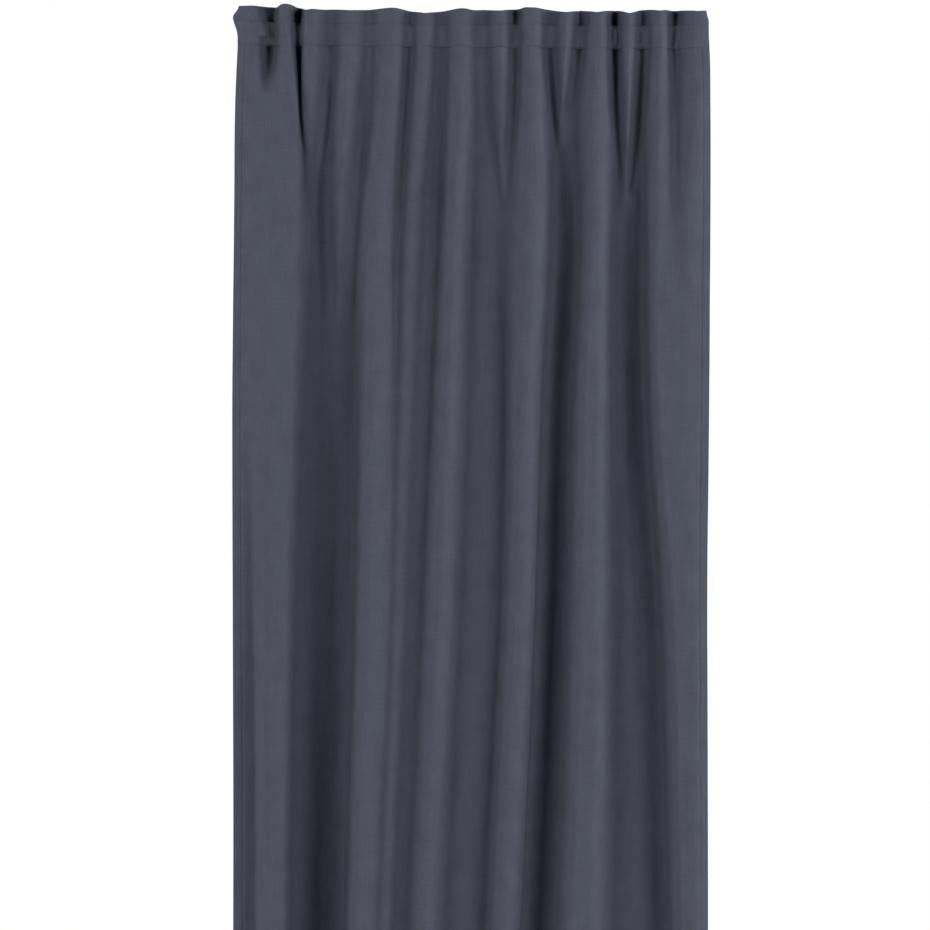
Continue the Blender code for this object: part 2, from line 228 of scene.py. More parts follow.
def raw_forward(across, depth):
    """Forward place of the cloth across this height, before its fullness is matched."""
    points = []
    extra = []
    for _, kind, half, _, places, heights in LONG_FOLDS:
        place = at_depth(places, depth)
        height = at_depth(heights, depth)
        for side in (-half, half) if half else (0.0,):
            points.append((place + side, height))
            if kind != "slope":
                extra.append((place + side, 0.0))
    places, heights = zip(*points)
    for _, _, top, end, end_depth, forward, fading in SHORT_FOLDS:
        run = min(depth / end_depth, 1.0)
        left = 1.0 - run**fading
        if left > 0.0:
            place = top + (end - top) * run
            height = left * (forward - np.interp(place, places, heights))
            half = left * GATHER_HALF if height > 0.0 else 0.0
            extra += [(place - half, height), (place + half, height)]
    extra.sort()
    extra_places, extra_heights = zip(*extra)
    straight = np.interp(across, places, heights) + np.interp(across, extra_places, extra_heights)
    return bent(straight, across[1] - across[0])


def undercut(across, depth):
    """Sideways push that spreads the flanks of the deep troughs behind their crests."""
    push = np.zeros_like(across)
    for name, half, sideways in UNDERCUTS:
        trough = next(fold for fold in LONG_FOLDS if fold[0] == name)
        off = np.clip((across - at_depth(trough[4], depth)) / half, -1.0, 1.0)
        push += at_depth(sideways, depth) * np.sin(np.pi * off)
    return push


def section(depth):
    """Across and forward places at this depth, one for each even step of the cloth's width."""
    start = at_depth(LONG_FOLDS[0][4], depth)
    finish = at_depth(LONG_FOLDS[-1][4], depth)
    across = np.linspace(start, finish, FINE_STEPS)
    forward = raw_forward(across, depth)
    across = across + undercut(across, depth)
    step_across, step_forward = np.diff(across), np.diff(forward)
    low, high = 0.0, DEEPEST_SCALE
    for _ in range(SOLVE_ROUNDS):
        scale = (low + high) / 2
        if np.hypot(step_across, scale * step_forward).sum() > CLOTH_WIDTH:
            high = scale
        else:
            low = scale
    scale = 1.0 + SHOWN * (scale - 1.0)
    along = np.concatenate([[0.0], np.cumsum(np.hypot(step_across, scale * step_forward))])
    even = np.linspace(0.0, along[-1], FINE_STEPS)
    hang = FORWARD_AT_HEM + (FORWARD_AT_TOP - FORWARD_AT_HEM) * (1 - eased(depth / FORWARD_EASE))
    return np.interp(even, along, across), np.interp(even, along, scale * forward) + hang


for depth in (40, 300, 1200, 2400):
    across, forward = section(depth)
    print(f"depth {depth}: {np.ptp(across):.0f} mm wide, {np.ptp(forward):.0f} mm deep")

# %% [markdown]
# ## The frill's edge, the pocket and the hanging line
#
# The top edge isn't straight: it stands up at some folds and dips at others. The curtain also hangs a
# little lower on its right, and the frill's free ends stand out past the edges.
#
# The pocket is held open as if the rod had just been drawn out of it. Its front swells most where the
# cloth lies deep between two gathers, because the rod pushes it out there. Its back hangs on the rod's
# far side.

# %% Height of the cloth, and the pocket's two walls
PLACES = np.linspace(0.0, CLOTH_WIDTH, FINE_STEPS)
CORNER_FALLOFF = 12
FLARE_DEPTH = 23.0
FLARE_SPREAD = 13.0
FLARE_TAIL = 24.0
LEFT_FLARE = 12.0
RIGHT_FLARE = 3.0


def rise_of_top(across):
    """How much the top edge stands up or dips along its length."""
    rises = [(fold[4][0], fold[3]) for fold in LONG_FOLDS]
    rises += [(fold[2], fold[1]) for fold in SHORT_FOLDS]
    places, heights = zip(*sorted(rises))
    even = np.linspace(across[0], across[-1], FINE_STEPS)
    return np.interp(across, even, bent(np.interp(even, places, heights), even[1] - even[0]))


def height_of(across, depth):
    """Upright place of the cloth."""
    share = max(0.0, 1.0 - depth / HEADING_DEPTH)
    return -depth - OUT_OF_LEVEL * across + share * rise_of_top(across)


def flared(across, depth):
    """The frill's free ends stand out a little, the left one more."""
    spread = FLARE_SPREAD if depth < FLARE_DEPTH else FLARE_TAIL
    bulge = math.exp(-(((depth - FLARE_DEPTH) / spread) ** 2))
    reach = (across[-1] - across[0]) / 2
    side = np.clip((across - across[0]) / reach - 1.0, -1.0, 1.0)
    push = np.where(side < 0.0, -LEFT_FLARE, RIGHT_FLARE)
    return across + bulge * push * np.abs(side) ** CORNER_FALLOFF


def swelling(depth, squareness):
    """How far a wall of the pocket has swollen between its two seams."""
    share = abs(2 * (depth - UPPER_SEAM) / (LOWER_SEAM - UPPER_SEAM) - 1)
    return max(0.0, 1.0 - share**squareness) ** (1.0 / squareness)


def pocket_front(depth, forward):
    """Forward place of the pocket's front, which no trough of the folds reaches behind."""
    over = (forward - POCKET_HALF) / POCKET_SOFTNESS
    front = POCKET_HALF + POCKET_SOFTNESS * np.logaddexp(0.0, over)
    return forward + swelling(depth, POCKET_SQUARENESS) * (front - forward)


def pocket_back(depth, forward):
    """Forward place of the pocket's back, on the far side of the rod."""
    back = -BACK_HALF - BACK_FULLNESS * (forward.max() - forward)
    return forward + swelling(depth, BACK_SQUARENESS) * (back - forward)


# %% [markdown]
# ## Creases and puckers
#
# Cloth that is gathered and sewn puckers: short, shallow wrinkles run away from every row of stitches.
# In the frill and the pocket some troughs are pressed wider or narrower. Further down the cloth is
# smoother. There only a few creases show, from folding and handling. All of these are listed one by
# one.
# Each is a soft ridge or trough along a line. Together they are a relief that moves the cloth along its
# own normal, by one to three millimetres below the heading and up to eight in it.

# %% Relief on the folds
CREASES = (
    # from across, depth, to across, depth, half width, height
    (-488, 74, -437, 118, 7, 1.6),
    (-437, 92, -428, 190, 9, -1.5),
    (-452, 150, -470, 420, 12, 0.9),
    (-424, 120, -400, 470, 15, -2.6),
    (-413, 66, -436, 158, 5, -2.6),
    (-364, -14, -364, 30, 9, -3.0),
    (-363, 30, -363, 77, 8, 6.0),
    (-420, -14, -419, 31, 8, 8.0),
    (98, -14, 98, 31, 9, -5.0),
    (234, -14, 234, 31, 5, 6.0),
    (256, -14, 256, 31, 8, -4.0),
    (304, -14, 304, 31, 7, -3.0),
    (366, -14, 366, 31, 9, -4.0),
    (431, -14, 431, 31, 8, -7.0),
    (427, 28, 421, 80, 6, -6.0),
    (87, 34, 87, 73, 3, -3.5),
    (109, 34, 109, 73, 3, -3.5),
    (297, 34, 297, 73, 3, -3.5),
    (312, 34, 312, 73, 3, -3.5),
    (355, 36, 356, 72, 3, -3.0),
    (376, 36, 377, 72, 3, -3.0),
    (218, 1205, 252, 1160, 8, -1.8),
    (232, 1225, 262, 1192, 7, 1.3),
    (428, 1120, 409, 1186, 7, -1.8),
    (419, 1285, 424, 1328, 7, -1.6),
    (-440, 1495, -405, 1560, 11, -1.6),
    (-450, 1545, -415, 1610, 11, 1.3),
    (-275, 92, -262, 150, 6, -1.8),
    (-236, 84, -262, 240, 10, 1.2),
    (-40, 84, -2, 210, 8, -1.1),
    (92, 84, 70, 190, 9, 1.0),
    (228, 84, 214, 170, 8, 1.2),
    (150, 560, 118, 760, 12, 1.0),
    (-60, 640, -96, 930, 14, -0.9),
    (330, 300, 296, 520, 12, 0.9),
    (20, 980, -14, 1260, 15, 0.9),
    (-190, 1180, -214, 1420, 14, -0.9),
    (250, 1560, 214, 1830, 15, 0.9),
    (-380, 1730, -410, 1880, 13, -1.1),
)
CREASE_ENDS = 0.08  # a crease runs out softly over this share at each of its ends

# Puckers: how many, then the least and most of their half width, height and reach from the seam
PUCKERS = 150
PUCKER_HALF = (5.0, 11.0)
PUCKER_HEIGHT = (0.35, 1.1)
PUCKER_REACH = (10.0, 38.0)
PUCKERS_IN_HEADING = 0.45
PUCKERS_AT_UPPER_SEAM = 0.5
FADING_AT_UPPER_SEAM = 2.0

# Long, very shallow waves: length across and length down
WAVES = ((95, 610), (61, 430), (43, 350), (131, 820), (29, 260), (75, 500))
WAVE_HEIGHT = 0.22
WAVES_START_OVER = 120.0

# Grooves that the thread draws into the cloth: depth and half width
SEAM_DEEP = 1.3
SEAM_WIDE = 1.7
UPPER_SEAM_SHARE = 0.4
SEAM_TENSIONS = 64
TENSION = (0.1, 1.9)
HEM_DEEP, HEM_WIDE = 0.5, 2.5
SIDE_DEEP, SIDE_WIDE = 0.55, 2.0

rng = np.random.default_rng(7)
pucker_place = np.sort(rng.uniform(0, CLOTH_WIDTH, PUCKERS))
pucker_half = rng.uniform(*PUCKER_HALF, PUCKERS)
pucker_height = rng.uniform(*PUCKER_HEIGHT, PUCKERS) * rng.choice((-1.0, 1.0), PUCKERS)
pucker_reach = rng.uniform(*PUCKER_REACH, PUCKERS)
drift_phase = rng.uniform(0, 2 * np.pi, (len(WAVES), 2))
# The thread draws the seam in more at some places than at others.
tension = np.interp(
    PLACES, np.linspace(0.0, CLOTH_WIDTH, SEAM_TENSIONS), rng.uniform(*TENSION, SEAM_TENSIONS)
)


def pucker_line(places, away):
    """Puckers across the cloth, this far away from the row of stitches."""
    off = np.clip((places[:, None] - pucker_place) / pucker_half, -1.0, 1.0)
    left = np.exp(-away / pucker_reach)
    return (0.5 * (1 + np.cos(np.pi * off)) * pucker_height * left).sum(axis=1)


def creases_at(across, depth):
    """Height of all the creases together at this depth. A crease is highest halfway along its line."""
    height = np.zeros_like(across)
    for from_across, from_depth, to_across, to_depth, half, size in CREASES:
        run = np.array([to_across - from_across, to_depth - from_depth], float)
        length = np.hypot(*run)
        if to_depth > from_depth and not from_depth - half <= depth <= to_depth + half:
            continue
        off = np.stack([across - from_across, np.full_like(across, depth - from_depth)])
        along = np.clip((off * run[:, None]).sum(axis=0) / length**2, 0.0, 1.0)
        away = np.hypot(*(off - along * run[:, None]))
        along = np.clip(along, CREASE_ENDS, 1.0 - CREASE_ENDS)
        height += size * np.exp(-((away / half) ** 2)) * np.sin(np.pi * along)
    return height


def handling(places, depth):
    """Long, very shallow waves that no hanging cloth is free of."""
    total = np.zeros_like(places)
    for (wide, long), (lean, lift) in zip(WAVES, drift_phase):
        run = depth / long * np.pi
        total += np.sin(places / wide * 2 * np.pi + (lean + 2 * run)) * np.sin(run + lift)
    return WAVE_HEIGHT * total


def groove(away, wide):
    """Share of a groove's depth, this far away from its middle."""
    return np.exp(-((away / wide) ** 2))


def relief(across, depth):
    """How far the cloth stands out from its folds, in millimetres."""
    height = creases_at(across, depth)
    away_lower = abs(depth - LOWER_SEAM)
    away_upper = abs(depth - UPPER_SEAM)
    lower_share = PUCKERS_IN_HEADING if depth < LOWER_SEAM else 1.0
    height += lower_share * pucker_line(PLACES, away_lower)
    height += PUCKERS_AT_UPPER_SEAM * pucker_line(PLACES[::-1], FADING_AT_UPPER_SEAM * away_upper)
    height -= SEAM_DEEP * tension * groove(away_lower, SEAM_WIDE)
    height -= UPPER_SEAM_SHARE * SEAM_DEEP * tension * groove(away_upper, SEAM_WIDE)
    height += handling(PLACES, depth) * eased((depth - LOWER_SEAM) / WAVES_START_OVER)
    height -= HEM_DEEP * groove(depth - LENGTH + BOTTOM_HEM, HEM_WIDE)
    from_edge = np.minimum(PLACES, CLOTH_WIDTH - PLACES)
    return height - SIDE_DEEP * groove(from_edge - SIDE_HEM, SIDE_WIDE)


# %% [markdown]
# ## Turning the cloth
#
# One row of the mesh is one line across the cloth. It goes round both side hems: from the hidden edge,
# back under the hem, round the turn and over the face. A row that lies on the back of the curtain, in
# the heading or the bottom hem, faces the other way, so its side hems lie towards the front.

# %% One row of the cloth
# Place on the cloth and distance behind its face, from the tucked-in edge round to the face
HEM_TURN = (
    (18.5, 0.5), (18.2, 1.0), (17.0, 1.25), (11.0, 1.3), (5.0, 1.3), (2.0, 1.3),
    (0.65, 1.25), (0.19, 1.05), (0.0, 0.65), (0.19, 0.2), (0.65, 0.03),
)
FACE_FROM = 2.0
inner = np.linspace(FACE_FROM, CLOTH_WIDTH - FACE_FROM, COLUMNS)
left = np.array(HEM_TURN)
right = left[::-1] * (-1, 1) + (CLOTH_WIDTH, 0)
column_place = np.concatenate([left[:, 0], inner, right[:, 0]])
column_back = np.concatenate([left[:, 1], np.zeros(COLUMNS), right[:, 1]])
turned = len(HEM_TURN) - 2
column_u = column_place.copy()
column_u[:turned] *= -1
column_u[len(column_u) - turned:] = 2 * CLOTH_WIDTH - column_u[len(column_u) - turned:]
ALL_COLUMNS = len(column_place)
STEP_INSIDE, STEP_WIDE = 1.5, 2.0
from_edge = np.minimum(column_place, CLOTH_WIDTH - column_place)
# 1 over a side hem and 0 beside it
over_hem = 1 - eased((from_edge - SIDE_HEM + STEP_INSIDE) / STEP_WIDE)


def cloth_row(depth, offset, faces_back=False, wall=None):
    """Points in metres of one row, this far in front of the middle of the folds.

    faces_back turns the row's side hems to the front. wall moves the row to one wall of the pocket.
    """
    across, forward = section(depth)
    if wall is not None:
        forward = wall(depth, forward)
    across = flared(across, depth)
    run_across, run_forward = np.gradient(across), np.gradient(forward)
    size = np.hypot(run_across, run_forward)
    side, front = -run_forward / size, run_across / size
    out = relief(across, depth)
    upright = height_of(across, depth)
    flip = -1.0 if faces_back else 1.0
    x, y, z, side, front, out = (
        np.interp(column_place, PLACES, line) for line in (across, forward, upright, side, front, out)
    )
    shift = out + offset - flip * column_back
    return np.stack([x + side * shift, -(y + front * shift), z], axis=1) * METRES


def cloth_mesh(name, rows, lengths):
    """A sheet from rows of points, with the cloth's own flat coordinates, in metres, as its UV map."""
    count = ALL_COLUMNS
    faces = []
    for i in range(len(rows) - 1):
        first, second = i * count, (i + 1) * count
        faces.extend((first + j, first + j + 1, second + j + 1, second + j) for j in range(count - 1))
    mesh = bpy.data.meshes.new(name)
    mesh.from_pydata(np.concatenate(rows).tolist(), [], faces)
    flat = mesh.uv_layers.new(name="flat")
    corner = np.empty(len(mesh.loops), np.int32)
    mesh.loops.foreach_get("vertex_index", corner)
    u = column_u[corner % count] * METRES
    v = -np.array(lengths)[corner // count] * METRES
    flat.data.foreach_set("uv", np.stack([u, v], axis=1).astype(np.float32).ravel())
    mesh.polygons.foreach_set("use_smooth", np.ones(len(faces), bool))
    body = bmesh.new()
    body.from_mesh(mesh)
    # The front of the cloth lies towards -Y.
    bmesh.ops.reverse_faces(body, faces=body.faces)
    body.to_mesh(mesh)
    body.free()
    made = bpy.data.objects.new(name, mesh)
    bpy.context.scene.collection.objects.link(made)
    print(f"{name}: {len(rows)} rows of {count}, {2 * len(faces)} triangles")
    return made


# %% [markdown]
# ## The fall
#
# Everything below the heading is one plain length of cloth. Its rows lie closer together under the
# heading, where the puckers are, and its last 100 mm are turned up at the back for the bottom hem.

# %% Make the fall
# Step between two rows: the least, how much more it grows, and the run in which it does
LEAST_STEP, MORE_STEP, STEP_EASE = 1.8, 19.4, 560.0
LAST_EVEN_ROW = 30.0
LAST_ROWS = (12.0, 5.0, 2.0, 0.65)
# The hem's fold: height over the lowest line and distance behind the face
HEM_ROUND = ((0.19, 0.25), (0.0, 0.65), (0.19, 1.05), (0.65, 1.3))
HEM_MIDDLE = 0.65
HEM_ROWS = (2, 8, 25, 45, 65, 85, 96, 99)
TUCKED = 0.6  # the hem's raw edge lies between its two layers

fall_depths = [HEADING_DEPTH]
while fall_depths[-1] < LENGTH - LAST_EVEN_ROW:
    step = LEAST_STEP + MORE_STEP * eased((fall_depths[-1] - HEADING_DEPTH) / STEP_EASE)
    fall_depths.append(fall_depths[-1] + step)
fall_depths += [LENGTH - up for up in LAST_ROWS]
fall_rows = [cloth_row(depth, 0.0) for depth in fall_depths]
fall_lengths = list(fall_depths)
layers = 1 + 2 * over_hem
for up, back in HEM_ROUND:
    fall_rows.append(cloth_row(LENGTH - up, -back * layers, faces_back=back > HEM_MIDDLE))
    fall_lengths.append(LENGTH + back)
for up in HEM_ROWS:
    fall_rows.append(cloth_row(LENGTH - up, -LAYER * layers, faces_back=True))
    fall_lengths.append(LENGTH + up)
fall_rows.append(cloth_row(LENGTH - BOTTOM_HEM, -TUCKED * layers, faces_back=True))
fall_lengths.append(LENGTH + BOTTOM_HEM)
fall = cloth_mesh("fall", fall_rows, fall_lengths)

# %% [markdown]
# ## The heading
#
# The same cloth goes on upwards: over the front of the pocket, through the upper row of stitches, over
# the frill's edge and down again at the back. At a row of stitches the layers are pinched together.
# Between the frill's edge and the upper row they stand a little apart, because nothing presses them.

# %% Make the heading
PINCH = 0.75
PINCH_REACH = 9.0
HEM_FULLER = 1.1
BACK_FURTHER = 0.35
EDGE_ROUND = 1.2
EDGE_TURNS = (35, 70, 90, 110, 145)
# Depths of the rows through the lower seam, over the pocket and up the frill
SEWN = [HEADING_DEPTH, 79, 78, LOWER_SEAM]
POCKET_STEPS = 26
middle, reach = (UPPER_SEAM + LOWER_SEAM) / 2, (LOWER_SEAM - UPPER_SEAM) / 2
POCKET = [middle + reach * math.cos(math.pi * k / POCKET_STEPS) for k in range(1, POCKET_STEPS)]
FRILL = [UPPER_SEAM, 28, 26.5, 24.5, 22, 19.5, 17, 14.5, 12, 9.5, 7, 5, 3.2, 1.8]


def frill_half(depth):
    """Half of the frill's thickness: pinched at the seam, full above it."""
    fullness = eased((UPPER_SEAM - depth) / PINCH_REACH)
    return PINCH + (FRILL_HALF - PINCH) * fullness + HEM_FULLER * over_hem


heading_rows, heading_lengths = [], []


def add_row(depth, length, offset, faces_back=False, wall=None):
    """One more row of the heading, at this length of the cloth."""
    heading_rows.append(cloth_row(depth, offset, faces_back, wall))
    heading_lengths.append(length)


for depth in SEWN:
    add_row(depth, depth, PINCH * (HEADING_DEPTH - depth) / (HEADING_DEPTH - LOWER_SEAM))
for depth in POCKET:
    add_row(depth, depth, PINCH, wall=pocket_front)
for depth in FRILL:
    add_row(depth, depth, frill_half(depth))
for turn in EDGE_TURNS:
    angle = math.radians(turn)
    top = EDGE_ROUND * (1 - math.sin(angle))
    add_row(top, -EDGE_ROUND * turn / 90, frill_half(0.0) * math.cos(angle), faces_back=turn > 90)
for depth in FRILL[::-1]:
    add_row(depth, -depth, -frill_half(depth), faces_back=True)
for depth in POCKET[::-1]:
    add_row(depth, -depth, -PINCH, faces_back=True, wall=pocket_back)
for depth in SEWN[::-1]:
    add_row(depth, -depth, -PINCH - BACK_FURTHER, faces_back=True)
heading = cloth_mesh("heading_cloth", heading_rows, heading_lengths)

# %% [markdown]
# ## The thread
#
# Every seam is a row of short straight stitches. One stitch is a small rounded bar, and Geometry Nodes
# sets it along the seam's line at even steps, turned along the seam. The line lies on the face of the
# cloth, so the thread follows every fold.

# %% One stitch, and the lines of the seams
# Place along the stitch and share of its radius there
STITCH_RINGS = ((-0.5, 0.35), (-0.32, 0.9), (0.0, 1.0), (0.32, 0.9), (0.5, 0.35))
STITCH_SIDES = 5
STITCH_PITCH = 3.4
STITCH_LENGTH = 2.9
THREAD_RADIUS = 0.26
LENGTH_CHANGE = (0.9, 1.08)


def stitch_bar():
    """A thread's visible run between two holes, 1 m long before it is scaled."""
    mesh = bpy.data.meshes.new("stitch")
    body = bmesh.new()
    rings = []
    for place, width in STITCH_RINGS:
        ring = []
        for k in range(STITCH_SIDES):
            turn = 2 * math.pi * k / STITCH_SIDES
            ring.append(body.verts.new((width * math.cos(turn), width * math.sin(turn), place)))
        rings.append(ring)
    for first, second in zip(rings, rings[1:]):
        for k in range(STITCH_SIDES):
            after = (k + 1) % STITCH_SIDES
            body.faces.new((first[k], first[after], second[after], second[k]))
    body.faces.new(rings[0][::-1])
    body.faces.new(rings[-1])
    bmesh.ops.recalc_face_normals(body, faces=body.faces)
    body.to_mesh(mesh)
    body.free()
    mesh.polygons.foreach_set("use_smooth", np.ones(len(mesh.polygons), bool))
    return bpy.data.objects.new("stitch", mesh)


def seam_curve(name, lines):
    """The seam's lines as a curve object, one spline each."""
    curve = bpy.data.curves.new(name, "CURVE")
    curve.dimensions = "3D"
    for line in lines:
        spline = curve.splines.new("POLY")
        spline.points.add(len(line) - 1)
        flat = np.concatenate([line, np.ones((len(line), 1))], axis=1)
        spline.points.foreach_set("co", flat.astype(np.float32).ravel())
    made = bpy.data.objects.new(name, curve)
    bpy.context.scene.collection.objects.link(made)
    return made


def seam_across(depth, offset, faces_back=False):
    """Line along the whole width of the cloth, on its face."""
    row = cloth_row(depth, offset, faces_back)
    return row[len(HEM_TURN): len(row) - len(HEM_TURN)]


def seam_down(place, offset):
    """Line down the fall, at this place of the cloth all the way."""
    column = int(np.argmin(np.abs(inner - place))) + len(HEM_TURN)
    share = (place - inner[column - len(HEM_TURN)]) / (inner[1] - inner[0])
    near = column + (1 if share > 0 else -1)
    line = []
    for depth, row in zip(fall_depths, fall_rows):
        point = row[column] + abs(share) * (row[near] - row[column])
        across = row[near] - row[column]
        normal = np.array([across[1], -across[0], 0.0]) * np.sign(near - column)
        line.append(point + normal / np.linalg.norm(normal) * offset * METRES)
    return np.array(line)


# %% [markdown]
# The node tree takes the stitch's length, its thickness, the gap and a seed. The seed only varies the
# stitches a little, as a machine's tension does. The result is baked to a plain mesh.

# %% Sew with Geometry Nodes


def stitch_tree(bar):
    """Nodes that set the bar along a curve and dye it."""
    tree = bpy.data.node_groups.new("row of stitches", "GeometryNodeTree")
    face = tree.interface
    face.new_socket("Geometry", in_out="INPUT", socket_type="NodeSocketGeometry")
    for name, kind in (("Pitch", "Float"), ("Stitch length", "Float"), ("Thread radius", "Float"),
                       ("Seed", "Int"), ("Thread", "Material")):
        face.new_socket(name, in_out="INPUT", socket_type="NodeSocket" + kind)
    face.new_socket("Geometry", in_out="OUTPUT", socket_type="NodeSocketGeometry")
    nodes, links = tree.nodes, tree.links
    given = nodes.new("NodeGroupInput")
    result = nodes.new("NodeGroupOutput")
    points = nodes.new("GeometryNodeCurveToPoints")
    points.mode = "LENGTH"
    info = nodes.new("GeometryNodeObjectInfo")
    info.inputs["Object"].default_value = bar
    wobble = nodes.new("FunctionNodeRandomValue")
    wobble.data_type = "FLOAT"
    floats = [s for s in wobble.inputs if s.type == "VALUE" and s.enabled]
    for socket, value in zip(floats, LENGTH_CHANGE):
        socket.default_value = value
    size = nodes.new("ShaderNodeCombineXYZ")
    scaled = nodes.new("ShaderNodeMath")
    scaled.operation = "MULTIPLY"
    place = nodes.new("GeometryNodeInstanceOnPoints")
    real = nodes.new("GeometryNodeRealizeInstances")
    dye = nodes.new("GeometryNodeSetMaterial")
    links.new(given.outputs["Geometry"], points.inputs["Curve"])
    links.new(given.outputs["Pitch"], points.inputs["Length"])
    links.new(given.outputs["Seed"], wobble.inputs["Seed"])
    links.new(given.outputs["Stitch length"], scaled.inputs[0])
    links.new(next(s for s in wobble.outputs if s.type == "VALUE" and s.enabled), scaled.inputs[1])
    links.new(given.outputs["Thread radius"], size.inputs["X"])
    links.new(given.outputs["Thread radius"], size.inputs["Y"])
    links.new(scaled.outputs[0], size.inputs["Z"])
    links.new(points.outputs["Points"], place.inputs["Points"])
    links.new(points.outputs["Rotation"], place.inputs["Rotation"])
    links.new(info.outputs["Geometry"], place.inputs["Instance"])
    links.new(size.outputs["Vector"], place.inputs["Scale"])
    links.new(place.outputs["Instances"], real.inputs["Geometry"])
    links.new(real.outputs["Geometry"], dye.inputs["Geometry"])
    links.new(given.outputs["Thread"], dye.inputs["Material"])
    links.new(dye.outputs["Geometry"], result.inputs["Geometry"])
    return tree


def sewn(name, lines, tree, thread, seed):
    """One object with all the stitches along these lines."""
    curve = seam_curve(name + "_line", lines)
    sewing = curve.modifiers.new("Sew", "NODES")
    sewing.node_group = tree
    values = {"Pitch": STITCH_PITCH * METRES, "Stitch length": STITCH_LENGTH * METRES,
              "Thread radius": THREAD_RADIUS * METRES, "Seed": seed, "Thread": thread}
    for socket in tree.interface.items_tree:
        if socket.in_out == "INPUT" and socket.name in values:
            sewing[socket.identifier] = values[socket.name]
    graph = bpy.context.evaluated_depsgraph_get()
    mesh = bpy.data.meshes.new_from_object(curve.evaluated_get(graph), depsgraph=graph)
    made = bpy.data.objects.new(name, mesh)
    bpy.context.scene.collection.objects.link(made)
    bpy.data.objects.remove(curve)
    print(f"{name}: {len(mesh.polygons)} faces, {len(mesh.materials)} material")
    return made


# %% [markdown]
# ## The cloth's material
#
# The cloth is a plain weave of slubby yarn in anthracite, with a touch of blue. Up close each yarn is
# thicker and thinner along its run, and so lighter and darker. From a step away that leaves faint
# streaks down and across. The surface is matt, with a little sheen from its loose fibres. Everything is
# drawn in the cloth's own flat coordinates, so the weave follows the folds and turns with the hems.

# %% Material of the cloth
YARN = 0.0009  # from one yarn to the next, in metres
WANDER_SCALE = 90
WANDER = 0.0012
SLUB_RUN = 22  # per metre along a yarn
STREAKS_DOWN = (260, 9)
STREAKS_ACROSS = (14, 300)
CLOUDS = (24, 17)
# How much each pattern adds to the tone, next to the slubs of both yarns
OVER_SHARE = 0.07
DOWN_SHARE = 0.5
ACROSS_SHARE = 0.3
CLOUD_SHARE = 0.9
TONE_SUM = 3.8
TONE_FROM, TONE_TO = 0.36, 0.64
DARK_YARN = (0.061, 0.067, 0.094)
LIGHT_YARN = (0.093, 0.101, 0.14)
ROUGH, SLUB_ROUGHER = 0.78, 0.2
SHINE = 0.25
SHEEN, SHEEN_ROUGH = 0.06, 0.5
BUMP, BUMP_HIGH = 0.22, 0.0004
WEAVE_IN_BUMP = 0.5
DARK_THREAD = (0.036, 0.04, 0.052)
LIGHT_THREAD = (0.07, 0.077, 0.096)
TWISTS = 2600
THREAD_ROUGH = 0.6


def shader_math(tree, operation, first, second=None):
    node = tree.nodes.new("ShaderNodeMath")
    node.operation = operation
    for socket, value in zip(node.inputs, (first, second)):
        if hasattr(value, "links"):
            tree.links.new(value, socket)
        elif value is not None:
            socket.default_value = value
    return node.outputs[0]


def stretched_noise(tree, flat, across, along, detail=2.0):
    """Noise with its own scale across and along the cloth, both per metre."""
    scale = tree.nodes.new("ShaderNodeMapping")
    scale.inputs["Scale"].default_value = (across, along, 1.0)
    noise = tree.nodes.new("ShaderNodeTexNoise")
    noise.inputs["Scale"].default_value = 1.0
    noise.inputs["Detail"].default_value = detail
    tree.links.new(flat, scale.inputs["Vector"])
    tree.links.new(scale.outputs["Vector"], noise.inputs["Vector"])
    return noise.outputs["Fac"]


